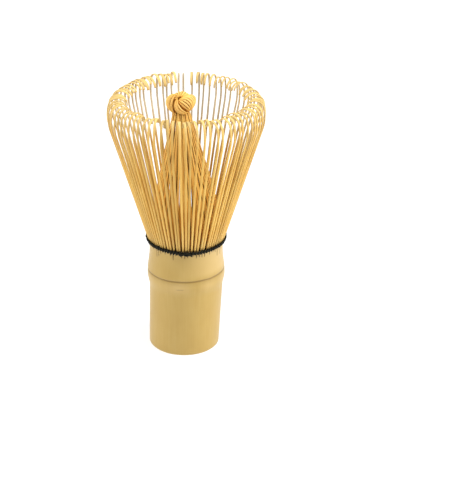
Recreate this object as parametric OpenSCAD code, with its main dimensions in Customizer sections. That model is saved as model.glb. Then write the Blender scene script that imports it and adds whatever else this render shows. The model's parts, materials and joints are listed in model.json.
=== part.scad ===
// Bamboo tea whisk.
// A short length of bamboo culm is the handle. Above its node the wall is split
// into tines: the outer ones flare and hook inwards at their tips, the inner ones
// lean together and are tied in a knot. A cotton thread is woven round the foot
// of every outer tine and holds the two sets apart.
// Z is up, and the origin is the centre of the handle's flat foot.

/* [Handle] */
// Radius of the handle at its foot
foot_r = 14; // [13:0.1:14.2]
// Radius of the handle just below the swelling at the node
waist_r = 14.5; // [14:0.05:14.6]
// Largest radius of the swelling at the node
ridge_r = 15.3; // [14.8:0.1:15.6]
// Radius of the wall's outside where the splits begin
neck_r = 14.4; // [14.2:0.05:14.5]
// Height of the swelling's crest
ridge_z = 31; // [30:0.5:32]
// Height of the top of the unsplit wall
neck_z = 42.6; // [41:0.2:44]
// Radius of the hollow inside the handle
bore_r = 9.5; // [8:0.1:10]
// Depth of that hollow, from the foot to the diaphragm
bore_depth = 28; // [24:0.5:28]

/* [Outer tines] */
// Outside radius of the tines where the splits begin
flare_r = 14; // [13.9:0.05:14.1]
// Angle from upright of the tines' straight part
lean = 16.9; // [16.7:0.1:17.2]
// Outside radius at the widest place
rim_r = 29.7; // [29.4:0.1:29.9]
// Height of that widest place
rim_z = 96.8; // [96.2:0.2:97.8]
// Radius of the shoulder between there and the hook, on its outside
shoulder_r = 18; // [12:1:24]
// How far the shoulder turns inwards
shoulder_turn = 12; // [8:1:16]
// Radius of the hook, on its outside
hook_r = 3.6; // [2.8:0.1:3.8]
// How far a tine has turned inwards at its tip
hook_sweep = 165; // [120:5:175]
// Width of an outer tine at its foot
outer_w = 0.76; // [0.6:0.02:0.8]
// Width of an outer tine at its tip
outer_tip_w = 0.58; // [0.4:0.02:0.6]
// Thickness of an outer tine at its foot
outer_t = 0.8; // [0.6:0.05:0.8]
// Thickness of an outer tine at its tip
outer_tip_t = 0.3; // [0.2:0.05:0.4]

/* [Inner tines] */
// Outside radius of the ring on which the inner tines stand
inner_foot_r = 13.05; // [13:0.05:13.1]
// Outside radius of the bundle below the knot
bundle_r = 3.1; // [3.1:0.1:3.6]
// Distance by which the bundle stands off the whisk's axis
bundle_offset = 1.8; // [0:0.1:1.8]
// Height of the top of the bundle
bundle_z = 97.2; // [96:0.2:98]
// Width of an inner tine at its foot
inner_w = 0.6; // [0.4:0.02:0.6]
// Width of an inner tine in the bundle
inner_top_w = 0.34; // [0.2:0.02:0.36]
// Thickness of an inner tine
inner_t = 0.3; // [0.2:0.02:0.34]

/* [Knot of the inner tines] */
// Half the width of the knot
knot_r = 5.8; // [5:0.1:6]
// Height of the middle of the knot
knot_z = 101; // [101:0.1:101.8]
// Thickness of one of the bands that make the knot
knot_band = 2.8; // [2.4:0.1:3]

/* [Thread] */
// Height of the middle of the woven thread
thread_z = 46; // [45.8:0.1:46.2]
// Thickness of the thread where it crosses a tine
thread_t = 0.66; // [0.4:0.02:0.7]
// Height of the thread where it crosses a tine
thread_h = 1.7; // [0.8:0.1:1.7]

/* [Hidden] */
SECTIONS = 16;
PER_SECTION = 5;
TINES = SECTIONS * PER_SECTION;
PITCH = 360 / TINES;
SECTION_PITCH = 360 / SECTIONS;
$fn = 96;

// Handle: the swelling's two sides, the scar on it and the steps of its outline
swell_h = 5.5;
fall_h = 10.5;
scar_rise = 2.2;
scar_w = 0.7;
scar_depth = 0.22;
culm_steps = 5;

// Handle: edge of the foot, the seat of the diaphragm and the wall above it
foot_chamfer = 0.4;
seat_r = 10.2;
seat_h = 2.4;
upper_bore_r = 11;
shoulder_h = 2;
wall_t = 1.7;

// Outer tines: gap between the fixed root and the springy part, and curve steps
flex_gap = 0.08;
root_top_z = thread_z + 0.86;
foot_z = root_top_z + flex_gap;
bend_steps = 4;
shoulder_steps = 2;
hook_steps = 10;
lean_r = (flare_r + tan(lean) * (rim_z - neck_z) - rim_r) / (1 / cos(lean) - 1);

// Inner tines: the depth in the bundle of each of four neighbours
bundle_layers = [0, 0.75, 0, 1.5];
inner_steps = 9;
inner_curve = 1.5;

// Thread: sweep of one round, which passes outside one tine and inside the next
turn_steps = 8;
ring_sides = 6;
squeezed_t = 0.26;
squeezed_h = 0.4;
thread_slack = 0.09;
dwell = 28;
thread_ring_r = outer_face_r(thread_z) - outer_t / cos(lean) / 2;
thread_swing = outer_t / 2 + thread_t / 2 + thread_slack;
tie_r = 0.6;
tie_w = 2.6;

function two_digits(n) = str(n < 10 ? "0" : "", n);
function names(stem) = [for (i = [1 : SECTIONS]) str(stem, two_digits(i))];
OUTER = names("outer_tines_");
INNER = names("inner_tines_");

// ---- Handle ----

// Half a cosine wave that rises from 0 to 1 while its argument does.
function ease(t) = (1 - cos(180 * max(0, min(1, t)))) / 2;

// Evenly spaced values from one number up to another, which is left out.
function steps_between(from, to, count) = [for (i = [0 : count - 1]) from + (to - from) * i / count];

// Outside radius of the culm: it widens slowly, swells at the node and narrows to the neck.
function culm_r(z) =
    foot_r + (waist_r - foot_r) * min(z / (ridge_z - swell_h), 1)
        + (ridge_r - waist_r) * ease((z - ridge_z + swell_h) / swell_h)
        - (ridge_r - neck_r) * ease((z - ridge_z) / fall_h);

function culm_heights() = concat(
    [foot_chamfer],
    steps_between(ridge_z - swell_h, ridge_z, culm_steps),
    [ridge_z, ridge_z + scar_rise - scar_w / 2],
    [ridge_z + scar_rise, ridge_z + scar_rise + scar_w / 2],
    steps_between(ridge_z + scar_rise + scar_w, neck_z, culm_steps),
    [neck_z]
);

// Half section of the culm, with the sheath's scar cut into the swelling and a
// hollow that ends at a seat for the diaphragm.
module culm_section() {
    polygon(concat(
        [[bore_r + foot_chamfer, 0], [foot_r - foot_chamfer, 0]],
        [
            for (z = culm_heights())
                [culm_r(z) - (z == ridge_z + scar_rise ? scar_depth : 0), z]
        ],
        [
            [neck_r - wall_t, neck_z],
            [upper_bore_r, bore_depth + seat_h + shoulder_h],
            [seat_r, bore_depth + seat_h],
            [seat_r, bore_depth],
            [bore_r, bore_depth],
            [bore_r, foot_chamfer]
        ]
    ));
}

module culm_handle() {
    color([0.82, 0.70, 0.44]) rotate_extrude() culm_section();
}

// The woody plate that closes the culm at its node, dished from above.
module node_diaphragm() {
    color([0.86, 0.78, 0.60])
        rotate_extrude()
            polygon([
                [0, bore_depth + 0.6],
                [0, bore_depth + 1.6],
                [6, bore_depth + 2],
                [seat_r, bore_depth + seat_h],
                [seat_r, bore_depth],
                [7, bore_depth]
            ]);
}

// ---- Outer tines ----

// Outside radius of the tines' straight part at a height.
function outer_face_r(z) = flare_r + tan(lean) * (z - neck_z);

// Headings from upright along the bend, the shoulder and the hook: outwards is positive.
function headings() = concat(
    steps_between(lean, 0, bend_steps),
    steps_between(0, -shoulder_turn, shoulder_steps),
    steps_between(-shoulder_turn, -hook_sweep, hook_steps),
    [-hook_sweep]
);

// Way travelled on an arc that turns inwards from one heading to another.
function arc_way(radius, from, to) = radius * [cos(to) - cos(from), sin(from) - sin(to)];

// Point of the outside face where the tine has a heading.
function face_point(a) =
    a >= -shoulder_turn
        ? [rim_r, rim_z] + arc_way(a > 0 ? lean_r : shoulder_r, 0, a)
        : face_point(-shoulder_turn) + arc_way(hook_r, -shoulder_turn, a);

// Thickness falls evenly from one end of the curved part to the other.
function curved_t(i, count) = outer_t * 0.75 + (outer_tip_t - outer_t * 0.75) * i / count;

// Side view of the springy part of an outer tine, with X as the radius and Y as the height.
module outer_tine_side() {
    turns = headings();
    last = len(turns) - 1;
    foot_t = outer_t / cos(lean);
    outside = [for (a = turns) face_point(a)];
    inside = [
        for (i = [0 : last])
            outside[i] + curved_t(i, last) * [-cos(turns[i]), sin(turns[i])]
    ];
    polygon(concat(
        [[outer_face_r(foot_z), foot_z]],
        outside,
        [for (i = [last : -1 : 0]) inside[i]],
        [[outer_face_r(foot_z) - foot_t, foot_z]]
    ));
}

// Front view of a tine between two heights, narrowing upwards.
module tine_front(low_z, low_w, high_z, high_w) {
    polygon([[-low_w / 2, low_z], [low_w / 2, low_z], [high_w / 2, high_z], [-high_w / 2, high_z]]);
}

module outer_tine() {
    intersection() {
        rotate([90, 0, 0])
            linear_extrude(height = 2 * outer_w, center = true)
                outer_tine_side();
        rotate([90, 0, 90])
            linear_extrude(height = rim_r + 1)
                tine_front(foot_z - 0.5, outer_w, knot_z + knot_r, outer_tip_w);
    }
}

// One of the sections that the wall is first split into, with its outer tines.
module outer_section(index) {
    color([0.90, 0.74, 0.46])
        for (i = [0 : PER_SECTION - 1])
            rotate([0, 0, index * SECTION_PITCH + (i - (PER_SECTION - 1) / 2) * PITCH])
                outer_tine();
}

// The fixed feet of the outer tines, from the unsplit wall to just above the thread.
module outer_tine_roots() {
    foot_t = outer_t / cos(lean);
    low_r = outer_face_r(neck_z);
    high_r = outer_face_r(root_top_z);
    color([0.88, 0.74, 0.48])
        for (i = [0 : TINES - 1])
            rotate([0, 0, i * PITCH])
                rotate([90, 0, 0])
                    linear_extrude(height = outer_w, center = true)
                        polygon([
                            [low_r, neck_z],
                            [high_r, root_top_z],
                            [high_r - foot_t, root_top_z],
                            [low_r - foot_t, neck_z]
                        ]);
}

// ---- Inner tines ----

// Share of the way from the foot to the bundle at a share of the height.
function inward(share) = pow(share, inner_curve);

// Side view of an inner tine that travels a distance inwards, with X as that distance.
module inner_tine_side(travel) {
    shares = [for (i = [0 : inner_steps]) i / inner_steps];
    outside = [
        for (s = shares) [travel * inward(s), neck_z + (bundle_z - neck_z) * s]
    ];
    inside = [for (p = outside) p + [inner_t, 0]];
    polygon(concat(outside, [for (i = [inner_steps : -1 : 0]) inside[i]]));
}

module inner_tine(index) {
    angle = (index + 0.5) * PITCH;
    start = inner_foot_r * [cos(angle), sin(angle)];
    layer_r = bundle_r - bundle_layers[index % len(bundle_layers)];
    end = layer_r * [cos(angle), sin(angle)] - [bundle_offset, 0];
    path = end - start;
    translate([start.x, start.y, 0])
        rotate([0, 0, atan2(path.y, path.x)])
            intersection() {
                rotate([90, 0, 0])
                    linear_extrude(height = 2 * inner_w, center = true)
                        inner_tine_side(norm(path));
                rotate([90, 0, 90])
                    translate([0, 0, -1])
                        linear_extrude(height = inner_foot_r + bundle_offset + 2)
                            tine_front(neck_z, inner_w, bundle_z, inner_top_w);
            }
}

// One of the sections that the wall is first split into, with its inner tines.
module inner_section(index) {
    first = index * PER_SECTION - (PER_SECTION - 1) / 2;
    color([0.86, 0.66, 0.36])
        for (i = [0 : PER_SECTION - 1])
            inner_tine((first + i + TINES) % TINES);
}

// ---- Knot of the inner tines ----

// Three bands of gathered tips wound round each other, flat where the bundle enters.
module core_knot() {
    loop_r = knot_r - knot_band / 2;
    size = 4 * knot_r;
    color([0.88, 0.70, 0.40])
        translate([-bundle_offset, 0, 0])
            difference() {
                translate([0, 0, knot_z]) {
                    sphere(r = loop_r);
                    for (i = [0 : 2])
                        rotate([0, 0, 120 * i])
                            rotate([38, 0, 0])
                                rotate_extrude()
                                    translate([loop_r, 0])
                                        circle(d = knot_band, $fn = 32);
                }
                translate([-size / 2, -size / 2, bundle_z - size])
                    cube(size);
            }
}

// ---- Thread ----

// Blend that is 1 where a round crosses a tine and 0 where it passes between two.
function on_tine(turn) = pow(cos(turn), 2);

// Middle of a round at a turn of its swing: half a turn for each tine. The thread
// slips quickly through each gap, so it moves round the ring mostly on the tines.
function round_angle(turn) = (turn + dwell * sin(2 * turn)) / 180 * PITCH;
function round_r(turn, side) = thread_ring_r + side * thread_swing * cos(turn);
function round_z(turn, side) = thread_z + side * squeezed_h * 0.55 * sin(turn);

// Outline of the round's cross section at a turn, as points in space.
function round_ring(turn, side) = [
    for (k = [0 : ring_sides - 1])
        let (
            half_t = (squeezed_t + (thread_t - squeezed_t) * on_tine(turn)) / 2,
            half_h = (squeezed_h + (thread_h - squeezed_h) * on_tine(turn)) / 2,
            z = round_z(turn, side) + half_h * sin(360 * k / ring_sides),
            lean_out = (z - thread_z) * tan(lean),
            r = round_r(turn, side) + half_t * cos(360 * k / ring_sides) + lean_out
        )
        [r * cos(round_angle(turn)), r * sin(round_angle(turn)), z]
];

// One round of thread: outside every other tine and inside the ones between.
module thread_round(side) {
    rings = TINES / 2 * turn_steps;
    points = [for (i = [0 : rings - 1]) each round_ring(360 * i / turn_steps, side)];
    faces = [
        for (i = [0 : rings - 1], k = [0 : ring_sides - 1])
            let (
                a = i * ring_sides,
                b = (i + 1) % rings * ring_sides,
                n = (k + 1) % ring_sides
            )
            each [[a + k, a + n, b + n], [a + k, b + n, b + k]]
    ];
    color([0.10, 0.09, 0.08]) polyhedron(points = points, faces = faces);
}

// The hitch that ends the thread, on the side that faces the user.
module thread_knot() {
    color([0.10, 0.09, 0.08])
        translate([0, -thread_ring_r - thread_swing - thread_t / 2, thread_z - 0.35])
            rotate([0, 90, 0]) {
                cylinder(r = tie_r, h = tie_w, center = true, $fn = 32);
                for (side = [-1, 1])
                    translate([0, 0, side * tie_w / 2])
                        sphere(r = tie_r, $fn = 32);
            }
}

culm_handle();
node_diaphragm();
outer_tine_roots();
thread_round(1);  // thread_first_round
thread_round(-1);  // thread_second_round
thread_knot();
core_knot();
for (i = [0 : SECTIONS - 1]) {
    outer_section(i);
    inner_section(i);
}
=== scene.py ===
"""The looks of a bamboo tea whisk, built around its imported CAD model.

Everything is in metres and in the model's own frame: +Z up, the centre of the
handle's foot at the origin, and the side that faces the user towards -Y.
"""

import json
import math
import random

import bpy
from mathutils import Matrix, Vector, noise

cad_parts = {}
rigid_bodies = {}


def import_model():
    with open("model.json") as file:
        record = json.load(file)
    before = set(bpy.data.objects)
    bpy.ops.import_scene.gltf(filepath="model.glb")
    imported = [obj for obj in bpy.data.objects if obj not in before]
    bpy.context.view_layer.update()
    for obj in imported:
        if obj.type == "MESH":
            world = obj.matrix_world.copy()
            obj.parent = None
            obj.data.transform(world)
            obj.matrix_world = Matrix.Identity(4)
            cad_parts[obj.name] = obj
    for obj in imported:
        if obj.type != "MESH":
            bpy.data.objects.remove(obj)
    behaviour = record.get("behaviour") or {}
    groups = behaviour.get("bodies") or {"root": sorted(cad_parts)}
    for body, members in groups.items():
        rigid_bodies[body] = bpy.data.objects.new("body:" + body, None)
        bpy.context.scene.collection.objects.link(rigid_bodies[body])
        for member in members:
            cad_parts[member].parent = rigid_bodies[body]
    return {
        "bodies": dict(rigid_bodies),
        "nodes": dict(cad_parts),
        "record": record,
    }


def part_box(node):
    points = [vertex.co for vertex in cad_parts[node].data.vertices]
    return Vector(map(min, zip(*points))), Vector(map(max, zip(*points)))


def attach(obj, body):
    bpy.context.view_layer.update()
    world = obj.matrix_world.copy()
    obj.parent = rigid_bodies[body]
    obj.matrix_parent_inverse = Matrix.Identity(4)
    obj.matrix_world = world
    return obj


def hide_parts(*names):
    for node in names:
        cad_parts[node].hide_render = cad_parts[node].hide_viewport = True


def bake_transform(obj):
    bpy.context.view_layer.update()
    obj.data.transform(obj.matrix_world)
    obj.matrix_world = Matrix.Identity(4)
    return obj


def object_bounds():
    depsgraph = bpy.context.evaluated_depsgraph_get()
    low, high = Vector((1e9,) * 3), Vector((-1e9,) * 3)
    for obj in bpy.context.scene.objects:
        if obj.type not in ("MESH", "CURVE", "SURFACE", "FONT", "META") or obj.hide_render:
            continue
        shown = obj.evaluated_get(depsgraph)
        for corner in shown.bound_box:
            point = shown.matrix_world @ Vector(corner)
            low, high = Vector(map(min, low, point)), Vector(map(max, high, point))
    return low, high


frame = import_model()
CAD_LOW, CAD_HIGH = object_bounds()

MM = 0.001
UP = Vector((0, 0, 1))

# ---- What the frame says ----

_, CULM_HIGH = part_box("culm_handle")
_, TINE_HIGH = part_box("outer_tines_01")
KNOT_LOW, KNOT_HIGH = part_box("core_knot")
THREAD_LOW, THREAD_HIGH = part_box("thread_first_round")
TIE_LOW, TIE_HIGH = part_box("thread_knot")
SEAT_LOW, SEAT_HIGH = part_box("node_diaphragm")

SECTIONS = [body for body in frame["bodies"] if body.startswith("outer_section_")]
MOUNTS = {mount["name"]: mount for mount in frame["record"]["mounts"]}
BORE_R = MOUNTS["handle_bore"]["dims"]["r_mm"] * MM

NECK_Z = CULM_HIGH.z
THREAD_Z = (THREAD_LOW.z + THREAD_HIGH.z) / 2
RIM_R = TINE_HIGH.x
APEX_Z = TINE_HIGH.z

# ---- Sizes of what Blender adds ----

PER_SECTION = 5
MIDDLE_TINE = (PER_SECTION - 1) // 2
TINES = len(SECTIONS) * PER_SECTION
PITCH = math.tau / TINES

# Culm: radii of the outline, and the heights of the swelling at the node
FOOT_R = 14.0 * MM
WAIST_R = 14.5 * MM
NECK_R = 14.4 * MM
RIDGE_Z = 31.0 * MM
SWELL_H = 5.5 * MM
FALL_H = 10.5 * MM
FLARE_SOFTNESS = 0.25 * MM
FOOT_SHIFT = 0.8 * MM
FOOT_CHAMFER = 0.4 * MM
WALL_T = 1.7 * MM
UNEVEN = 0.06 * MM

# The scar that the sheath left above the node, with the low lip over it
SCAR_RISE = 2.2 * MM
SCAR_TILT = 0.3 * MM
SCAR_WAVE = 0.1 * MM
SCAR_DEPTH = 0.26 * MM
SCAR_HALF = 0.34 * MM
SCAR_STAIN = 0.5
SCAR_SHADE = 0.08
LIP_RISE = 0.75 * MM
LIP_T = 0.08 * MM
LIP_HALF = 0.4 * MM

# A short scratch below the scar, turned by so many radians to the left of the front
SCRATCH_Z = 29.8 * MM
SCRATCH_TURN = 0.16
SCRATCH_HALF_W = 1.9 * MM
SCRATCH_HALF_H = 0.22 * MM
SCRATCH_SLOPE = 0.05
SCRATCH_STAIN = 0.3

# Paler places on the culm: a band below the scar, and a painted highlight on its right front side
# above the scar
BAND_PALE = 0.5
BAND_DROP = 2.6 * MM
BAND_HALF = 2.4 * MM
SIDE_HIGHLIGHT = 0.7
HIGHLIGHT_TURN = 0.6

# Slits between the tines' feet: the heights of their lower ends over the neck, and their
# depth. SLIT_PLACES are the columns of points round one tine, of which the outer two are
# the slits' floors and the next two their rims. Places and half widths are shares of the
# pitch.
SLIT_ENDS = (0.5 * MM, 2.1 * MM)
LONG_SLITS = 18
LONG_SLIT_ENDS = (-1.5 * MM, 0.4 * MM)
SLIT_DEPTH = 0.75 * MM
SLIT_EDGE_DEPTH = 0.2 * MM
SLIT_PLACES = (-0.48, -0.45, -0.25, 0.0, 0.25, 0.45, 0.48)
SLIT_FLOORS = (0, 6)
SLIT_RIMS = (1, 5)
SLIT_HALF_LOW = 0.055
SLIT_HALF_TOP = 0.165
SLIT_FLOOR_W = 0.8
# How dark a slit's rims are painted, as shade in the slit; its floor is painted fully dark.
SLIT_RIM_SHADE = 0.4

# Outer tines: the straight part, the bend at the shoulder and the hook
FLARE_R = 14.0 * MM
LEAN = math.radians(16.9)
OUTER_T = 0.8 * MM
OUTER_RIM_T = 0.42 * MM
OUTER_TIP_T = 0.24 * MM
OUTER_W = 0.7 * MM
OUTER_BELLY_W = 0.9 * MM
OUTER_HOOK_W = 1.08 * MM
OUTER_TIP_W = 1.2 * MM
EDGE_TIP_W = 1.0 * MM
SHOULDER_R = 18.0 * MM
SHOULDER_TURN = math.radians(12)
HOOK_R = 3.7 * MM
RIM_Z = APEX_Z - 6.8 * MM
BACK_RISE = 1.4 * MM
HOOK_BLEND = 4 * MM

# Tines that end straight up, without a hook
STRAIGHT_TIPS = (20, 21)

# Where along an outer tine its width and its colours start to change, where its painted
# shade fades towards the hook, and over how much: shares of its length
SPREAD_FROM = 0.72
SPREAD_OVER = 0.16
PALE_OVER = 0.2
SHADE_FADES_FROM = 0.76
SHADE_FADES_OVER = 0.12
BARE_FROM = 0.45
BARE_OVER = 0.25
CLEAN_FROM = 0.84
CLEAN_OVER = 0.08

# How the outer tines differ round the whisk, as shares of their width: slimmer at the
# back, with slimmer hooks in front and the slimmest ones at the right of the back
BACK_SLIMMER = 0.12
FRONT_HOOK_SLIMMER = 0.24
THIN_HOOKS = 0.4
THIN_MIDDLE = math.radians(54)
THIN_SPREAD = math.radians(24)

# Scatter of the outer tines: angles are in degrees, and scales are shares
OFF_PLACE = 0.12
OFF_LEAN = 0.22
OFF_STRAIGHT = 0.15 * MM
HOOK_SCALES = (0.9, 1.04)
HOOK_TURNS = (152, 190)
HOOK_VEER = -6
OFF_VEER = 2.5
VEER_PER_PLACE = 1.5
TINE_LENGTHS = (-0.5 * MM, 0.4 * MM)
TIP_SCALES = (0.75, 1.15)

# Tines that stand off their even places, in degrees anticlockwise from above
STRAYS = {
    52: -0.5, 53: -0.8, 55: -0.6, 57: 0.4, 58: -0.4, 59: 0.4, 61: -1.1, 62: -0.8, 63: -0.7,
    64: -0.7, 65: 0.5, 66: -0.8, 67: 1.1, 68: 0.5,
    11: -1.9, 14: -1.1, 15: -1.0, 18: -1.2, 20: 2.3, 21: 1.5, 22: 2.4, 23: 1.4, 26: 0.5,
    27: 3.0, 28: 1.8, 29: 1.4, 30: -0.4, 31: -0.5, 32: -1.2, 33: -0.8,
}

# Inner tines, and the bundle that they form below the knot. OFF_ROOT is in degrees.
# BUNDLE_LAYERS says how deep in the bundle the tines lie by turns.
INNER_R = 13.05 * MM
INNER_W = 0.92 * MM
INNER_TOP_W = 0.4 * MM
INNER_T = 0.32 * MM
INNER_CURVE = 1.5
INNER_STAND = 4.3
INNER_STEPS = 22
OFF_ROOT = 0.25
OFF_COURSE = 0.3 * MM
BUNDLE_R = 3.1 * MM
BUNDLE_LAYERS = (0.0, 0.45 * MM, 0.0, 0.9 * MM)
BUNDLE_DEPTH = 0.9 * MM
KNOT_DROP = 0.25 * MM
KNOT_CENTRE = (KNOT_LOW + KNOT_HIGH) / 2 - UP * KNOT_DROP
CLUMPS = 13
CLUMP_DENT = 0.45 * MM
CLUMP_PULL = 0.7

# Looks of the splits of bamboo, as shares. Each draws its own brightness, a tone. Its sides
# and inner face are painted darker, as shade, by its painted-shade share. inside is how much
# of the inner face's colour shows there, and sides how much of that shows at its sides: on
# the outer tines that is their own near-white inner face, on the inner tines and the knot
# it is brown painted shade. The inner tines' lower parts and the strands' ends get brown
# painted shade as well.
OUTER_TONES = (0.88, 1.1)
OUTER_PAINTED_SHADE = 0.2
OUTER_INSIDE = 0.85
OUTER_SIDES = 0.2
TIP_PAINTED_SHADE = 0.06
TIP_PALE = 0.9
FOOT_PALE = 0.35
INNER_TONES = (0.9, 1.19)
INNER_PAINTED_SHADE = 0.3
INNER_UNDERSIDE_SHADE = 0.8
INNER_SIDE_SHADE = 1.0
INNER_FOOT_SHADE = 0.7
INNER_TOP_SHADE = 0.12
INNER_PALE = 0.25
STRAND_TONES = (0.96, 1.2)
STRAND_PAINTED_SHADE = 0.35
STRAND_UNDERSIDE_SHADE = 0.4
STRAND_END_SHADE = 0.3
STRAND_PALE = 0.4


# ---- Small tools ----

def mix(a, b, share):
    return a + (b - a) * share


def clamp(value):
    return max(0.0, min(1.0, value))


def ease(value):
    """Half a cosine wave that rises from 0 to 1."""
    return (1 - math.cos(math.pi * clamp(value))) / 2


def rise(value, start, length):
    """Rises from 0 to 1 over a length from the start."""
    return ease((value - start) / length)


def bell(distance, width):
    return math.exp(-(distance / width) ** 2)


def radial(angle):
    return Vector((math.cos(angle), math.sin(angle), 0))


def around(angle):
    return Vector((-math.sin(angle), math.cos(angle), 0))


def srgb(red, green, blue):
    """A colour as read off a screen, from 0 to 255, in the shader's linear units."""
    def linear(value):
        value = value / 255
        return value / 12.92 if value <= 0.04045 else ((value + 0.055) / 1.055) ** 2.4
    return (linear(red), linear(green), linear(blue), 1)


class Build:
    """Collects one mesh: points, faces, and what the materials read at each point.

    grain is the place on the bamboo in millimetres, across and along its fibres.
    tone is a brightness, darkened as painted shade on the splits' sides and inner faces.
    pale and the other share are the shares of the bamboo's two other colours; the second one
    is a real colour of the bamboo in some places, such as the scar and the near-white inner
    faces, and painted shade in others.
    """

    def __init__(self):
        self.points, self.faces = [], []
        self.grain, self.tone, self.pale, self.stain_and_shade = [], [], [], []

    def add(self, point, grain, tone=1.0, pale=0.0, stain_and_shade=0.0):
        self.points.append(point)
        self.grain.append(grain)
        self.tone.append(tone)
        self.pale.append(pale)
        self.stain_and_shade.append(stain_and_shade)
        return len(self.points) - 1

    def skin_rings(self, rings, closed=False):
        """Joins each ring of points to the next. The rings are loops of equal length."""
        pairs = list(zip(rings, rings[1:]))
        if closed:
            pairs.append((rings[-1], rings[0]))
        for low, high in pairs:
            for i in range(len(low)):
                j = (i + 1) % len(low)
                self.faces.append((low[i], low[j], high[j], high[i]))

    def cap(self, ring, flip=False):
        self.faces.append(tuple(reversed(ring)) if flip else tuple(ring))

    def piece(self, name, material):
        mesh = bpy.data.meshes.new(name)
        mesh.from_pydata(self.points, [], self.faces)
        grain = mesh.attributes.new("grain", "FLOAT_VECTOR", "POINT")
        grain.data.foreach_set("vector", [number for place in self.grain for number in place])
        for key in ("tone", "pale", "stain_and_shade"):
            attribute = mesh.attributes.new(key, "FLOAT", "POINT")
            attribute.data.foreach_set("value", getattr(self, key))
        mesh.polygons.foreach_set("use_smooth", [True] * len(mesh.polygons))
        mesh.materials.append(material)
        mesh.validate()
        obj = bpy.data.objects.new(name, mesh)
        bpy.context.scene.collection.objects.link(obj)
        return obj


# ---- Materials ----

class Shader:
    """A material's node tree, with one Principled surface."""

    def __init__(self, name):
        self.material = bpy.data.materials.new(name)
        self.material.use_nodes = True
        self.tree = self.material.node_tree
        self.surface = self.tree.nodes["Principled BSDF"]

    def node(self, kind, inputs=(), **settings):
        made = self.tree.nodes.new(kind)
        for key, value in settings.items():
            setattr(made, key, value)
        for key, value in dict(inputs).items():
            self.feed(made.inputs[key], value)
        return made

    def feed(self, socket, value):
        if isinstance(value, bpy.types.NodeSocket):
            self.tree.links.new(value, socket)
        else:
            socket.default_value = value

    def attribute(self, name, output="Fac"):
        return self.node("ShaderNodeAttribute", attribute_name=name).outputs[output]

    def scaled(self, vector, scale):
        made = self.node("ShaderNodeMapping", {"Vector": vector, "Scale": scale})
        return made.outputs["Vector"]

    def noise(self, vector, detail):
        made = self.node(
            "ShaderNodeTexNoise",
            {"Vector": vector, "Scale": 1.0, "Detail": detail, "Roughness": 0.55},
        )
        return made.outputs["Fac"]

    def spots(self, vector):
        made = self.node("ShaderNodeTexVoronoi", {"Vector": vector, "Scale": 1.0})
        return made.outputs["Distance"]

    def math(self, operation, first, second, third=0.0):
        made = self.node("ShaderNodeMath", {0: first, 1: second, 2: third}, operation=operation)
        return made.outputs["Value"]

    def spread(self, value, low, high, new_low, new_high):
        """The value's stretch from low to high, mapped to a new stretch and clamped."""
        made = self.node("ShaderNodeMapRange", {
            "Value": value, "From Min": low, "From Max": high,
            "To Min": new_low, "To Max": new_high,
        })
        return made.outputs["Result"]

    def ramp(self, value, stops):
        made = self.node("ShaderNodeValToRGB", {"Fac": value})
        elements = made.color_ramp.elements
        while len(elements) < len(stops):
            elements.new(0.5)
        for element, (position, colour) in zip(elements, stops):
            element.position, element.color = position, colour
        return made.outputs["Color"]

    def blend(self, share, first, second, how="MIX"):
        made = self.node("ShaderNodeMix", data_type="RGBA", blend_type=how)
        self.feed(made.inputs[0], share)
        self.feed(made.inputs[6], first)
        self.feed(made.inputs[7], second)
        return made.outputs[2]

    def bump(self, height, strength, distance):
        made = self.node(
            "ShaderNodeBump",
            {"Height": height, "Strength": strength, "Distance": distance},
        )
        self.feed(self.surface.inputs["Normal"], made.outputs["Normal"])

    def set(self, **inputs):
        for key, value in inputs.items():
            self.feed(self.surface.inputs[key.replace("_", " ")], value)


def bamboo(name, dark, middle, light, pale, stain_and_shade, rough, shine=0.4, coat=0.0,
           fibre=9.0, along=0.22, relief=0.35, streaky=0.32):
    """Bamboo with fibres along its grain. The mesh says how bright it is, with painted shade, and
    where it is pale, stained, or painted with shade colour.

    fibre and along are how fine the fibres are across and along the grain, and streaky is
    their share in the colour.
    """
    shader = Shader(name)
    grain = shader.attribute("grain", "Vector")
    fibres = shader.noise(shader.scaled(grain, (fibre, along, 1)), detail=4)
    streaks = shader.noise(shader.scaled(grain, (1.4, 0.05, 1)), detail=2)
    clouds = shader.noise(shader.scaled(grain, (0.16, 0.09, 1)), detail=2)
    figure = shader.math("MULTIPLY", clouds, 0.67 - streaky)
    figure = shader.math("MULTIPLY_ADD", streaks, 0.45, figure)
    figure = shader.math("MULTIPLY_ADD", fibres, streaky, figure)
    colour = shader.ramp(figure, [(0.40, dark), (0.56, middle), (0.72, light)])
    colour = shader.blend(shader.attribute("pale"), colour, pale)
    colour = shader.blend(shader.attribute("stain_and_shade"), colour, stain_and_shade)
    tone = shader.attribute("tone")
    grey = shader.node("ShaderNodeCombineColor", {"Red": tone, "Green": tone, "Blue": tone})
    colour = shader.blend(1.0, colour, grey.outputs["Color"], "MULTIPLY")
    shader.set(Base_Color=colour, Specular_IOR_Level=shine, Coat_Weight=coat, Coat_Roughness=0.3)
    shader.set(Roughness=shader.spread(fibres, 0.3, 0.7, rough + 0.08, rough - 0.08))
    shader.bump(fibres, relief, 0.04 * MM)
    return shader


def skin_material():
    """The culm's outside: smooth and a little glossy, with faint fibres and dark stains, painted
    shade in its slits, and a painted highlight on its right side above the node.
    """
    shader = bamboo(
        "bamboo_skin_satin",
        dark=srgb(191, 157, 82), middle=srgb(194, 161, 86), light=srgb(197, 165, 91),
        pale=srgb(216, 184, 120), stain_and_shade=srgb(82, 50, 16),
        rough=0.42, fibre=5.0, along=0.12, coat=0.12, relief=0.15, streaky=0.12,
    )
    return shader.material


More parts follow.
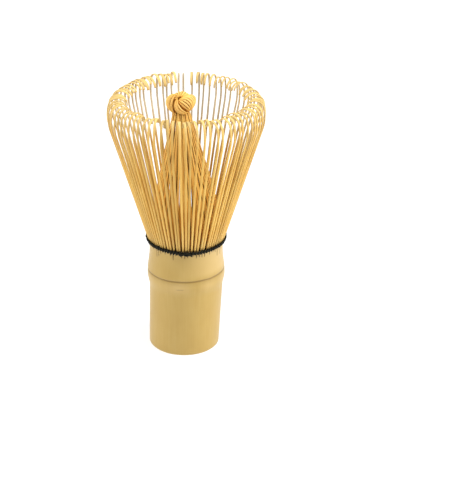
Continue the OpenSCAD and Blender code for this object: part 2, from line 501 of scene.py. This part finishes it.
def outer_material():
    """The outer tines: straw yellow, with paler shaved tips and nearly white inner faces."""
    shader = bamboo(
        "bamboo_outer_tines",
        dark=srgb(211, 161, 75), middle=srgb(228, 182, 91), light=srgb(239, 201, 113),
        pale=srgb(231, 199, 128), stain_and_shade=srgb(242, 237, 214),
        rough=0.5, shine=0.2,
    )
    return shader.material


def core_material():
    """The inner tines and their knot: warmer than the outer ones. Their second, brown colour is
    painted shade: on their sides, inner faces and lower parts, and in the knot.
    """
    shader = bamboo(
        "bamboo_inner_tines",
        dark=srgb(226, 160, 52), middle=srgb(247, 191, 79), light=srgb(255, 218, 113),
        pale=srgb(255, 218, 154), stain_and_shade=srgb(165, 86, 10),
        rough=0.48, shine=0.15,
    )
    return shader.material


def pith_material():
    """The inside of the culm and the plate at its node: matt, with pores in the cut ends."""
    shader = Shader("bamboo_pith")
    place = shader.node("ShaderNodeTexCoord").outputs["Object"]
    pores = shader.spots(shader.scaled(place, (1800, 1800, 300)))
    clouds = shader.noise(shader.scaled(place, (260, 260, 90)), detail=4)
    colour = shader.ramp(clouds, [(0.35, srgb(206, 178, 122)), (0.65, srgb(230, 206, 156))])
    holes = shader.spread(pores, 0.16, 0.3, 0.55, 0.0)
    colour = shader.blend(holes, colour, srgb(140, 104, 56))
    shader.set(Base_Color=colour, Specular_IOR_Level=0.3)
    shader.set(Roughness=shader.spread(clouds, 0.3, 0.7, 0.75, 0.92))
    shader.bump(pores, 0.4, 0.06 * MM)
    return shader.material


def thread_material():
    """Matt black cotton: its fibres run along the twist."""
    shader = Shader("cotton_black")
    grain = shader.attribute("grain", "Vector")
    fibres = shader.noise(shader.scaled(grain, (9, 1.2, 1)), detail=4)
    colour = shader.ramp(fibres, [(0.35, srgb(12, 12, 6)), (0.7, srgb(38, 37, 24))])
    shader.set(Base_Color=colour, Sheen_Weight=0.04, Sheen_Roughness=0.5)
    shader.set(Specular_IOR_Level=0.2)
    shader.set(Roughness=shader.spread(fibres, 0.3, 0.7, 0.95, 0.8))
    shader.bump(fibres, 0.5, 0.05 * MM)
    return shader.material


# ---- Handle ----

def flared_r(z):
    """Outside radius of the straight, leaning part of the outer tines."""
    return FLARE_R + math.tan(LEAN) * (z - NECK_Z)


# Radius of the bend that brings the tines upright just as they reach the rim.
BEND_R = (flared_r(RIM_Z) - RIM_R) / (1 / math.cos(LEAN) - 1)


def culm_r(z):
    """Outside radius of the culm, which runs over into the flare of the tines."""
    taper = mix(FOOT_R, WAIST_R, min(z / (RIDGE_Z - SWELL_H), 1))
    swell = (CULM_HIGH.x - WAIST_R) * rise(z, RIDGE_Z - SWELL_H, SWELL_H)
    fall = (CULM_HIGH.x - NECK_R) * rise(z, RIDGE_Z, FALL_H)
    wall, flare = taper + swell - fall, flared_r(z)
    return (wall + flare + math.sqrt((wall - flare) ** 2 + FLARE_SOFTNESS ** 2)) / 2


def culm_heights():
    """Rings of the culm's outside, close together where it has detail."""
    dense_low, dense_high = RIDGE_Z - SWELL_H, RIDGE_Z + 3 * MM
    spans = [
        (FOOT_CHAMFER, 4 * MM, 5),
        (4 * MM, dense_low, 16),
        (dense_low, dense_high, 42),
        (dense_high, NECK_Z - 4 * MM, 8),
        (NECK_Z - 4 * MM, THREAD_Z, 22),
    ]
    heights = [low + (high - low) * i / count for low, high, count in spans for i in range(count)]
    return heights + [THREAD_Z]


def culm_skin(angle, z):
    """Radius, dark marks with a band of painted shade, and paleness with a painted highlight, of
    the culm's outside, leaving out its slits.
    """
    uneven = noise.noise(radial(angle) * 1.3 + UP * z * 30)
    wave = noise.noise(radial(angle) * 3 + UP * 5)
    over_scar = z - (RIDGE_Z + SCAR_RISE + SCAR_TILT * math.cos(angle) + SCAR_WAVE * wave)

    r = culm_r(z) + UNEVEN * uneven
    r -= FOOT_SHIFT * math.cos(angle) * clamp(1 - z / (RIDGE_Z - SWELL_H))
    r += LIP_T * bell(over_scar - LIP_RISE, LIP_HALF) - SCAR_DEPTH * bell(over_scar, SCAR_HALF)

    scratch_off = math.remainder(angle + math.pi / 2 + SCRATCH_TURN, math.tau) * r
    scratch = bell(z - SCRATCH_Z - SCRATCH_SLOPE * scratch_off, SCRATCH_HALF_H)
    scratch *= clamp((SCRATCH_HALF_W - abs(scratch_off)) / MM)
    stain_and_shade = SCAR_STAIN * bell(over_scar, 0.36 * MM) + SCRATCH_STAIN * scratch
    stain_and_shade += SCAR_SHADE * bell(over_scar + 0.8 * MM, 0.9 * MM)

    band = bell(over_scar + BAND_DROP, BAND_HALF) * (0.6 + noise.noise(radial(angle) * 2.2))
    # A painted highlight on the culm's right front side above the scar
    side = rise(over_scar, 0, 3 * MM) * clamp(math.cos(angle + HIGHLIGHT_TURN)) ** 3
    return r, stain_and_shade, max(0.0, BAND_PALE * band + SIDE_HIGHLIGHT * side)


def culm(material, inside):
    """The handle, with the tines' feet up to the thread: one continuous piece of bamboo.

    Between the feet are slits, which are narrow and shallow at their lower ends.
    """
    rng = random.Random(11)
    slit_ends = [NECK_Z + rng.uniform(*SLIT_ENDS) for _ in range(TINES)]
    for tine in rng.sample(range(TINES), LONG_SLITS):
        slit_ends[tine] = NECK_Z + rng.uniform(*LONG_SLIT_ENDS)
    columns = TINES * len(SLIT_PLACES)
    build = Build()

    def column_angle(column):
        tine, place = divmod(column, len(SLIT_PLACES))
        return (tine + SLIT_PLACES[place]) * PITCH

    def outer_point(column, z):
        """Angle, radius, dark marks and painted shade, and paleness of one point: a slit's floor or
        rim, or skin. A slit's floor and rims are painted dark, as shade in the slit.
        """
        angle = column_angle(column)
        r, stain_and_shade, pale = culm_skin(angle, z)
        tine, place = divmod(column, len(SLIT_PLACES))
        before = place < len(SLIT_PLACES) // 2
        end = slit_ends[tine if before else (tine + 1) % TINES]
        if z <= end or place not in SLIT_FLOORS + SLIT_RIMS:
            return angle, r, stain_and_shade, pale
        opened = clamp((z - end) / (THREAD_Z - end)) ** 0.6
        half = mix(SLIT_HALF_LOW, SLIT_HALF_TOP, opened) * PITCH
        # A slit's floor is painted fully dark and its rims darker: painted shade in the slit.
        if place in SLIT_FLOORS:
            r -= min(SLIT_DEPTH, SLIT_EDGE_DEPTH + SLIT_DEPTH * opened)
            stain_and_shade, half = 1.0, half * SLIT_FLOOR_W
        else:
            stain_and_shade = max(stain_and_shade, SLIT_RIM_SHADE)
        angle = (tine - 0.5) * PITCH + half if before else (tine + 0.5) * PITCH - half
        return angle, r, stain_and_shade, pale

    rings = []
    for z in culm_heights():
        ring = []
        for column in range(columns):
            angle, r, stain_and_shade, pale = outer_point(column, z)
            grain = (column_angle(column) * FOOT_R / MM, z / MM, 3.0)
            ring.append(build.add(radial(angle) * r + UP * z, grain, 1.0, pale, clamp(stain_and_shade)))
        rings.append(ring)
    build.skin_rings(rings)
    outer_faces = len(build.faces)

    def plain_ring(r, z, shift=0.0):
        ring = []
        for column in range(columns):
            angle = column_angle(column)
            grain = (angle * r / MM, z / MM, 9.0)
            ring.append(build.add(radial(angle) * (r - shift * math.cos(angle)) + UP * z, grain))
        return ring

    inner = [
        plain_ring(flared_r(THREAD_Z) - OUTER_T, THREAD_Z),
        plain_ring(NECK_R - WALL_T, NECK_Z),
        plain_ring(SEAT_HIGH.x + 0.8 * MM, SEAT_HIGH.z + 2 * MM),
        plain_ring(SEAT_HIGH.x, SEAT_HIGH.z),
        plain_ring(SEAT_HIGH.x, SEAT_LOW.z),
        plain_ring(BORE_R, SEAT_LOW.z),
        plain_ring(BORE_R, FOOT_CHAMFER),
        plain_ring(BORE_R + FOOT_CHAMFER, 0),
        plain_ring(FOOT_R - FOOT_CHAMFER, 0, FOOT_SHIFT),
    ]
    build.skin_rings([rings[-1]] + inner + [rings[0]])
    obj = build.piece("culm_and_tine_feet", material)
    obj.data.materials.append(inside)
    indices = [0] * outer_faces + [1] * (len(obj.data.polygons) - outer_faces)
    obj.data.polygons.foreach_set("material_index", indices)
    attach(obj, "handle")
    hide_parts("culm_handle", "outer_tine_roots")
    return obj


# ---- Tines ----

# Cross-section of a split, as shares of its half width and half thickness: the
# outer face is crowned, because it is the culm's own skin.
SPLIT_SECTION = (
    (-0.8, 1.0), (0.0, 1.12), (0.8, 1.0), (1.0, 0.6), (1.0, -0.7),
    (0.8, -1.0), (-0.8, -1.0), (-1.0, -0.7), (-1.0, 0.6),
)


def split(build, stations, tone, seed, sides):
    """Sweeps a split of bamboo through stations, each a dict of its place, size and colour.

    Its sides and inner face are painted darker, as shade, by the station's painted-shade
    share. Its inner face also has the colour that a station calls inside, and sides is the
    share of that colour which its sides have: on the outer tines their own near-white inner
    face, on the inner tines and the knot brown painted shade. The seed shifts its grain.
    """
    rings = []
    for station in stations:
        ring = []
        for across, out in SPLIT_SECTION:
            point = station["centre"] + station["side"] * across * station["half_w"]
            point = point + station["out"] * out * station["half_t"]
            off_middle = across * station["half_w"] / MM
            grain = (off_middle + seed * 7.3, station["along"] / MM, seed * 1.7)
            # Share from the outer face towards the inner face, by which the tone is darkened as
            # painted shade
            under = clamp(0.8 - out)
            shade = tone * (1 - station["painted_shade"] * under)
            inside = station["inside"] * (under if out < -0.9 else under * sides)
            stain_and_shade = max(station["stain_and_shade"], inside)
            ring.append(build.add(point, grain, shade, station["pale"], stain_and_shade))
        rings.append(ring)
    build.skin_rings(rings)
    build.cap(rings[0], flip=True)
    build.cap(rings[-1])


def outer_course(angle, spans, hook_starts, veer):
    """Points along a tine's outer face, each with its heading and its distance.

    A heading is the angle from upright, outwards. A span is a length, the headings at its
    ends and its number of steps. The hook veers sideways.
    """
    out_way, side_way = radial(angle), around(angle)
    face = out_way * flared_r(THREAD_Z) + UP * THREAD_Z
    along, course = 0.0, []
    for length, from_heading, to_heading, steps in spans:
        for step in range(steps):
            course.append((face.copy(), mix(from_heading, to_heading, step / steps), along))
            heading = mix(from_heading, to_heading, (step + 0.5) / steps)
            turned = veer * clamp((along - hook_starts) / HOOK_BLEND + 0.5)
            way = out_way * math.sin(heading) + UP * math.cos(heading)
            way = way * math.cos(turned) + side_way * math.sin(turned)
            face = face + way * length / steps
            along += length / steps
    course.append((face.copy(), spans[-1][2], along))
    return course


def outer_stations(angle, place, straight_tip, tip_w, rng):
    """One outer tine, from under the thread to the end of its hook.

    place counts from the middle of its section. The hooks of a section veer one way and
    draw in a little towards its middle, so that neighbouring sections have room to flex.
    """
    lean = LEAN + math.radians(rng.gauss(0, OFF_LEAN))
    bow = rng.gauss(0, OFF_STRAIGHT)
    hook_r = HOOK_R * rng.uniform(*HOOK_SCALES)
    sweep = math.radians(rng.uniform(*HOOK_TURNS))
    veer = math.radians(rng.gauss(HOOK_VEER, OFF_VEER) - VEER_PER_PLACE * place)
    at_back = ((1 + math.sin(angle)) / 2) ** 2
    in_front = ((1 - math.sin(angle)) / 2) ** 2
    veer *= 1 - 0.8 * at_back ** 4
    longer = rng.uniform(*TINE_LENGTHS) + BACK_RISE * at_back
    straight = (RIM_Z - BEND_R * math.sin(LEAN) - THREAD_Z) / math.cos(LEAN) + longer
    spans = [
        (straight, lean, lean, 12),
        (BEND_R * lean, lean, 0.0, 4),
        (SHOULDER_R * SHOULDER_TURN, 0.0, -SHOULDER_TURN, 3),
    ]
    hook_starts = sum(length for length, _, _, _ in spans)
    if straight_tip:
        spans.append((HOOK_R * 0.55, -SHOULDER_TURN, -SHOULDER_TURN * 0.5, 4))
    else:
        spans.append((hook_r * (sweep - SHOULDER_TURN), -SHOULDER_TURN, -sweep, 18))
    whole = sum(length for length, _, _, _ in spans)

    # The hook's width, and the share of the length from which its inner face is clean
    thin = 1 - THIN_HOOKS * bell(math.remainder(angle - THIN_MIDDLE, math.tau), THIN_SPREAD)
    hook_w = OUTER_HOOK_W * (1 - FRONT_HOOK_SLIMMER * in_front) * thin
    tip_w, clean_from = tip_w * thin, CLEAN_FROM
    if straight_tip:
        hook_w, tip_w, clean_from = 0.75 * hook_w, 0.7 * hook_w, 1.1

    out_way, side_way = radial(angle), around(angle)
    stations = []
    for face, heading, along in outer_course(angle, spans, hook_starts, veer):
        share = along / whole
        hooked = clamp((along - hook_starts) / (whole - hook_starts))
        spreading = rise(share, SPREAD_FROM, SPREAD_OVER)
        out = out_way * math.cos(heading) - UP * math.sin(heading)
        half_t = mix(OUTER_T, OUTER_RIM_T, clamp(share * 1.15)) / 2
        half_t = mix(half_t, OUTER_TIP_T / 2, ease(hooked))
        belly = OUTER_W + (OUTER_BELLY_W - OUTER_W) * math.sin(math.pi * clamp(share * 1.3))
        half_w = mix(belly, hook_w, spreading) / 2
        half_w *= 1 - BACK_SLIMMER * at_back * rise(share, 0, 0.35) * (1 - spreading)
        half_w = mix(half_w, tip_w / 2, rise(hooked, 0.2, 0.5))
        half_w *= mix(0.8, 1.0, clamp((whole - along) / MM))
        sway = side_way * bow * math.sin(math.pi * clamp(share * 1.05))
        pale = TIP_PALE * rise(share, SPREAD_FROM, PALE_OVER) + FOOT_PALE * bell(along, 6 * MM)
        bare = rise(share, BARE_FROM, BARE_OVER)
        stations.append({
            "centre": face + sway - out * half_t,
            "side": side_way, "out": out, "half_w": half_w, "half_t": half_t, "along": along,
            "pale": pale,
            "painted_shade": mix(OUTER_PAINTED_SHADE, TIP_PAINTED_SHADE, rise(share, SHADE_FADES_FROM, SHADE_FADES_OVER)),
            "stain_and_shade": 0,
            "inside": OUTER_INSIDE * bare * (1 - rise(share, clean_from, CLEAN_OVER)),
        })
    return stations


def outer_section(index, body, material):
    """Five outer tines, from under the thread to the ends of their hooks. Their section's joint is
    just above the thread, but they are not attached to its body.
    """
    rng = random.Random(100 + index)
    tips = random.Random(600 + index)
    build = Build()
    for place in range(-MIDDLE_TINE, MIDDLE_TINE + 1):
        tine = index * PER_SECTION + place
        angle = tine * PITCH + math.radians(rng.gauss(0, OFF_PLACE) + STRAYS.get(tine % TINES, 0))
        at_edge = abs(place) == MIDDLE_TINE
        tip_w = EDGE_TIP_W if at_edge else OUTER_TIP_W * tips.uniform(*TIP_SCALES)
        stations = outer_stations(angle, place, tine in STRAIGHT_TIPS, tip_w, rng)
        split(build, stations, rng.uniform(*OUTER_TONES), rng.random() * 50, OUTER_SIDES)
    obj = build.piece(body.replace("outer_section", "outer_tines_bamboo"), material)
    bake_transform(obj)
    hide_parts(body.replace("outer_section", "outer_tines"))
    return obj


def inner_curve(share):
    """How far across an inner tine has come: it stands up first, then bends to the knot."""
    return share ** INNER_CURVE - INNER_STAND * share ** 2 * (1 - share) ** 4


def bundle_place(tine, angle):
    """The end of an inner tine's course, in the knot: in its layer and drawn to its clump."""
    clump = CLUMPS * angle
    layer = BUNDLE_R - BUNDLE_LAYERS[tine % len(BUNDLE_LAYERS)]
    r = layer - CLUMP_DENT * (1 - math.cos(clump)) / 2
    gathered = angle - CLUMP_PULL * math.sin(clump) / CLUMPS
    high = radial(gathered) * (r - INNER_T / 2) + Vector((KNOT_CENTRE.x, KNOT_CENTRE.y, 0))
    return high + UP * (KNOT_LOW.z + BUNDLE_DEPTH)


def inner_stations(tine, rng):
    """The course of one inner tine, from the culm's top to the knot."""
    angle = (tine + 0.5) * PITCH
    root = angle + math.radians(rng.gauss(0, OFF_ROOT))
    low = radial(root) * (INNER_R - INNER_T / 2) + UP * NECK_Z
    high = bundle_place(tine, angle)
    across = high - low
    height = across.z
    across.z = 0
    way_in = across.normalized()
    side = UP.cross(way_in)
    bow = rng.gauss(0, OFF_COURSE)
    stations = []
    for step in range(INNER_STEPS + 1):
        share = step / INNER_STEPS
        near, far = max(share - 0.01, 0), min(share + 0.01, 1)
        slope = (inner_curve(far) - inner_curve(near)) / (far - near) * across.length / height
        centre = low + across * inner_curve(share) + UP * height * share
        # Brown painted shade, heaviest low down where the tine stands deep inside the whisk
        stain_and_shade = mix(INNER_FOOT_SHADE, INNER_TOP_SHADE, ease(share * 1.6))
        stations.append({
            "centre": centre + side * bow * math.sin(math.pi * share),
            "side": side, "out": (-way_in + UP * slope).normalized(),
            "half_w": mix(INNER_W, INNER_TOP_W, share ** 1.2) / 2, "half_t": INNER_T / 2,
            "along": share * height,
            "pale": INNER_PALE * ease(share),
            "painted_shade": INNER_PAINTED_SHADE,
            "stain_and_shade": stain_and_shade * (1 - rise(share, 0.8, 0.15)),
            "inside": INNER_UNDERSIDE_SHADE,
        })
    return stations


def inner_section(index, material):
    """Five inner tines. They are held at both ends, so they ride on the handle."""
    rng = random.Random(300 + index)
    build = Build()
    for place in range(-MIDDLE_TINE, MIDDLE_TINE + 1):
        stations = inner_stations((index * PER_SECTION + place) % TINES, rng)
        split(build, stations, rng.uniform(*INNER_TONES), rng.random() * 50, INNER_SIDE_SHADE)
    number = f"{index + 1:02d}"
    obj = build.piece(f"inner_tines_bamboo_{number}", material)
    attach(obj, "handle")
    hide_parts(f"inner_tines_{number}")
    return obj


# ---- Knot of the inner tines ----

# Each lobe is one visible turn of the knot. Its places are in millimetres from the
# knot's middle: so far to the right, up and towards the user, on axes that lean back.
# Its strands leave one end and gather at the other. Halfway they stand on an ellipse:
# bulge is its centre, reach and depth are its half axes, and turns are the angles on it,
# in degrees, of the first strand and the last.
KNOT_LEAN = math.radians(19.5)
LOBES = (
    # The big lobe at the right
    {"ends": ((-1.3, 0.9, 3.1), (3.2, -2.8, 2.4)), "bulge": (2.2, 0.2, 0.2),
     "reach": (2.6, 2.4, 0), "depth": (0, 0, 4.2), "turns": (122, -60), "strands": 12},
    # The crescent at its lower left
    {"ends": ((-1.0, 1.9, 3.2), (2.7, -3.3, 2.3)), "bulge": (-0.6, -1.6, 0.2),
     "reach": (-1.35, -1.15, 0), "depth": (0, 0, 4.0), "turns": (88, -40), "strands": 6},
    # The lobe at the left
    {"ends": ((-1.4, 3.0, 2.3), (-2.2, -3.8, 0.8)), "bulge": (-3.6, -0.1, -0.3),
     "reach": (-1.9, 0.8, 0), "depth": (0, 0, 3.2), "turns": (88, -70), "strands": 6},
    # The turn over the top, from front to back
    {"ends": ((-0.6, 1.3, 3.5), (0.4, 0.6, -4.0)), "bulge": (0.2, 1.5, 0.0),
     "reach": (-3.2, 0, 0), "depth": (0, 2.8, 0), "turns": (5, 175), "strands": 9},
    # The turn round the back
    {"ends": ((-2.9, -1.6, -0.6), (2.9, -1.8, -0.8)), "bulge": (0, -0.4, -1.7),
     "reach": (0, 3.1, 0), "depth": (0, 0, -2.8), "turns": (-70, 80), "strands": 9},
)
LOBE_STEPS = 18
STRAND_T = 0.72 * MM
STRAND_MIN_W = 0.28 * MM
STRAND_SINK = 0.2 * MM
SHINGLE = 0.25

# The knot's core, an ellipsoid painted dark brown as the shade in the knot's crevices, with its
# half axes in millimetres
CORE_HALVES = (4.3, 3.9, 3.3)
CORE_RINGS = 12
CORE_SIDES = 16


def knot_way(right, up, towards):
    """A way on the knot's own axes, from millimetres."""
    tilt_up = Vector((0, math.sin(KNOT_LEAN), math.cos(KNOT_LEAN)))
    tilt_out = Vector((0, -math.cos(KNOT_LEAN), math.sin(KNOT_LEAN)))
    return (Vector((1, 0, 0)) * right + tilt_up * up + tilt_out * towards) * MM


def lobe(build, rng, ends, bulge, reach, depth, turns, strands):
    """One visible turn of the knot. Its strands lie over each other like shingles."""
    first, last = (KNOT_CENTRE + knot_way(*end) for end in ends)
    halfway = (first + last) / 2
    centre = KNOT_CENTRE + knot_way(*bulge)
    reach, depth = knot_way(*reach), knot_way(*depth)

    def rim(strand):
        turn = math.radians(mix(turns[0], turns[1], strand / (strands - 1)))
        return centre + reach * math.cos(turn) + depth * math.sin(turn)

    for strand in range(strands):
        peak = rim(strand)
        spacing = (rim(strand + 0.5) - rim(strand - 0.5)).length
        tone = rng.uniform(*STRAND_TONES)
        lift = 1 + rng.uniform(-0.02, 0.03)
        seed = rng.random() * 50
        course = []
        for step in range(LOBE_STEPS + 1):
            share = step / LOBE_STEPS
            swell = math.sin(math.pi * mix(0.03, 0.985, share)) ** 0.5
            core = first + (last - first) * share + (centre - halfway) * swell
            course.append((core, core + (peak - centre) * swell * lift, swell, share))
        stations = []
        for i, (core, point, swell, share) in enumerate(course):
            way = course[min(i + 1, LOBE_STEPS)][1] - course[max(i - 1, 0)][1]
            out = (point - core).normalized()
            side = way.cross(out).normalized()
            out = side.cross(way).normalized()
            side = (side + out * SHINGLE).normalized()
            out = side.cross(way).normalized()
            stations.append({
                "centre": point - out * STRAND_SINK, "side": side, "out": out,
                "half_w": max(STRAND_MIN_W / 2, spacing * swell * 0.38), "half_t": STRAND_T / 2,
                "along": share * 8,
                "pale": STRAND_PALE * swell,
                "painted_shade": STRAND_PAINTED_SHADE,
                # Brown painted shade towards the strand's ends, where it sinks into the knot
                "stain_and_shade": STRAND_END_SHADE * (1 - swell) ** 2,
                "inside": STRAND_UNDERSIDE_SHADE,
            })
        split(build, stations, tone, seed, INNER_SIDE_SHADE)


def core_knot(material):
    """The tips of the inner tines, wound into one knot of flat strands round a core that is painted
    dark as shade.
    """
    rng = random.Random(5)
    build = Build()
    for shape in LOBES:
        lobe(build, rng, **shape)
    right, up, towards = CORE_HALVES
    rings = []
    for i in range(1, CORE_RINGS):
        polar = math.pi * i / CORE_RINGS
        flat = math.sin(polar)
        ring = []
        for k in range(CORE_SIDES):
            turn = math.tau * k / CORE_SIDES
            sideways, outwards = right * flat * math.cos(turn), towards * flat * math.sin(turn)
            place = KNOT_CENTRE + knot_way(sideways, -up * math.cos(polar), outwards)
            ring.append(build.add(place, (k, i, 0), tone=1.05, stain_and_shade=0.65))
        rings.append(ring)
    build.skin_rings(rings)
    build.cap(rings[0], flip=True)
    build.cap(rings[-1])
    obj = build.piece("core_knot_bamboo", material)
    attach(obj, "handle")
    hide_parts("core_knot")
    return obj


# ---- Thread ----

# The thread is tall and flat over a tine, and small and round in the gap between two.
THREAD_T = 0.66 * MM
THREAD_H = 1.85 * MM
GAP_T = 0.3 * MM
GAP_H = 0.44 * MM
THREAD_SWING = OUTER_T / 2 + THREAD_T / 2 + 0.09 * MM
THREAD_RING_R = THREAD_HIGH.x - THREAD_SWING - THREAD_T / 2
THREAD_DWELL = math.radians(28)
THREAD_DIP = 0.45 * MM
THREAD_SIDES = 16
THREAD_STEPS = 12
THREAD_TWIST = 0.9
PLY_DEPTH = 0.15

# Course of the hitch, in millimetres from its middle: X to the right, Y inwards.
TIE_COURSE = (
    (2.3, -0.1, -0.9), (1.7, -0.3, -0.35), (0.9, -0.45, 0.2), (0.0, -0.3, 0.5), (-0.8, 0.1, 0.3),
    (-0.9, 0.3, -0.2), (-0.2, 0.0, -0.5), (0.7, -0.5, -0.3), (0.9, -0.2, 0.3), (0.3, 0.2, 0.4),
    (-0.6, -0.3, 0.2), (-1.5, -0.4, -0.1), (-2.2, -0.2, -0.7),
)
TIE_R = 0.36 * MM
TIE_SIDES = 12
TIE_TWIST = 0.35
TIE_PLY_DEPTH = 0.12


def thread_round(name, node, side, material):
    """One round of three-ply thread, outside every other tine and inside those between."""
    build = Build()
    rings = []
    for i in range(TINES * THREAD_STEPS):
        turn = math.pi * i / THREAD_STEPS
        angle = (turn + THREAD_DWELL * math.sin(2 * turn)) / math.pi * PITCH
        on_tine = math.cos(turn) ** 2
        half_t = mix(GAP_T, THREAD_T, on_tine) / 2
        lumpy = 1 + 0.2 * noise.noise(radial(angle) * 9 + UP * side)
        half_h = mix(GAP_H, THREAD_H * lumpy, on_tine) / 2
        dip = THREAD_DIP * bell(math.remainder(angle + math.pi / 2, math.tau), 0.5)
        middle_z = THREAD_Z + side * GAP_H * 0.5 * math.sin(turn) - dip
        middle_r = THREAD_RING_R + side * THREAD_SWING * math.cos(turn)
        ring = []
        for k in range(THREAD_SIDES):
            corner = math.tau * k / THREAD_SIDES
            ply = 1 + PLY_DEPTH * math.cos(3 * (corner - THREAD_TWIST * turn))
            up = half_h * ply * math.sin(corner)
            r = middle_r + half_t * ply * math.cos(corner) + up * math.tan(LEAN)
            grain = ((corner - THREAD_TWIST * turn) / 2, angle * THREAD_RING_R / MM, side)
            ring.append(build.add(radial(angle) * r + UP * (middle_z + up), grain))
        rings.append(ring)
    build.skin_rings(rings, closed=True)
    obj = build.piece(name, material)
    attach(obj, "handle")
    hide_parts(node)
    return obj


def smooth_course(points, steps):
    """Points on a Catmull-Rom curve through the given ones."""
    course = []
    for i in range(len(points) - 1):
        a, b = points[max(i - 1, 0)], points[i]
        c, d = points[i + 1], points[min(i + 2, len(points) - 1)]
        for step in range(steps):
            t = step / steps
            course.append(
                (b * 2 + (c - a) * t + (a * 2 - b * 5 + c * 4 - d) * t * t
                 + (b * 3 - a - c * 3 + d) * t * t * t) / 2
            )
    return course + [points[-1]]


def carried_frames(course):
    """For each point of a course two crosswise directions that never spin round it."""
    frames = []
    normal = Vector((0, -1, 0))
    for i in range(len(course)):
        way = (course[min(i + 1, len(course) - 1)] - course[max(i - 1, 0)]).normalized()
        normal = (normal - way * normal.dot(way)).normalized()
        frames.append((normal, way.cross(normal)))
    return frames


def thread_tie(material):
    """The small overhand hitch that ends the thread, with its two cut tails."""
    middle = (TIE_LOW + TIE_HIGH) / 2
    course = smooth_course([middle + Vector(point) * MM for point in TIE_COURSE], 6)
    build = Build()
    rings = []
    for i, (normal, cross) in enumerate(carried_frames(course)):
        to_end = min(i, len(course) - 1 - i)
        r = TIE_R * mix(0.7, 1.0, clamp(to_end / 8))
        ring = []
        for k in range(TIE_SIDES):
            corner = math.tau * k / TIE_SIDES
            ply = 1 + TIE_PLY_DEPTH * math.cos(3 * (corner - TIE_TWIST * i))
            out = normal * math.cos(corner) + cross * math.sin(corner)
            grain = (corner * 0.5 - 0.18 * i, i * 0.15, 4)
            ring.append(build.add(course[i] + out * r * ply, grain))
        rings.append(ring)
    build.skin_rings(rings)
    build.cap(rings[0], flip=True)
    build.cap(rings[-1])
    obj = build.piece("thread_tie", material)
    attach(obj, "handle")
    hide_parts("thread_knot")
    return obj


# ---- Studio ----

CAMERA_BACK = 478 * MM
CAMERA_UP = 270 * MM
CAMERA_PITCH = math.radians(25.7)
CAMERA_LENS = 96.8
CAMERA_SHIFT = 0.0807
FLOOR_HALF = 3.0
DAYLIGHT = 0.4

# Name, place, size and power of each area light
SOFTBOXES = (
    ("softbox_right", (0.95, -0.2, 0.8), 0.7, 12.5),
    ("softbox_left", (-1.0, 0.0, 0.7), 0.8, 7),
    ("softbox_top", (0.0, -0.1, 1.35), 0.8, 7.5),
)


def camera():
    """The camera at the photo's place, with a shift that puts the whisk left of the middle."""
    data = bpy.data.cameras.new("camera")
    data.lens = CAMERA_LENS
    data.shift_x = CAMERA_SHIFT
    obj = bpy.data.objects.new("camera", data)
    obj.location = (0, -CAMERA_BACK, CAMERA_UP)
    obj.rotation_euler = (math.pi / 2 - CAMERA_PITCH, 0, 0)
    bpy.context.scene.collection.objects.link(obj)
    bpy.context.scene.camera = obj


def floor():
    """A plain white table top."""
    mesh = bpy.data.meshes.new("floor")
    corners = [(x * FLOOR_HALF, y * FLOOR_HALF, 0) for x, y in ((-1, -1), (1, -1), (1, 1), (-1, 1))]
    mesh.from_pydata(corners, [], [(0, 1, 2, 3)])
    shader = Shader("floor_white")
    shader.set(Base_Color=(0.4, 0.4, 0.4, 1), Roughness=0.9, Specular_IOR_Level=0.1)
    shader.set(Emission_Color=(1, 1, 1, 1), Emission_Strength=0.7)
    mesh.materials.append(shader.material)
    obj = bpy.data.objects.new("floor", mesh)
    bpy.context.scene.collection.objects.link(obj)


def softbox(name, place, size, power):
    """A square area light that points at the whisk's middle."""
    data = bpy.data.lights.new(name, "AREA")
    data.size, data.energy = size, power
    obj = bpy.data.objects.new(name, data)
    obj.location = place
    aim = Vector((0, 0, CAD_HIGH.z / 2)) - Vector(place)
    obj.rotation_euler = aim.to_track_quat("-Z", "Y").to_euler()
    bpy.context.scene.collection.objects.link(obj)


def studio():
    """Daylight from all round, and the softboxes."""
    world = bpy.data.worlds.new("studio")
    world.use_nodes = True
    background = world.node_tree.nodes["Background"]
    background.inputs["Color"].default_value = (1, 1, 1, 1)
    background.inputs["Strength"].default_value = DAYLIGHT
    bpy.context.scene.world = world
    bpy.context.scene.view_settings.view_transform = "Standard"
    for light in SOFTBOXES:
        softbox(*light)


# ---- The whole ----

camera()
floor()
studio()

skin, pith, cotton = skin_material(), pith_material(), thread_material()
straw, warm = outer_material(), core_material()

culm(skin, pith)
frame["nodes"]["node_diaphragm"].data.materials.clear()
frame["nodes"]["node_diaphragm"].data.materials.append(pith)
for number, section in enumerate(SECTIONS):
    outer_section(number, section, straw)
    inner_section(number, warm)
core_knot(warm)
thread_round("thread_round_outer", "thread_first_round", 1, cotton)
thread_round("thread_round_inner", "thread_second_round", -1, cotton)
thread_tie(cotton)
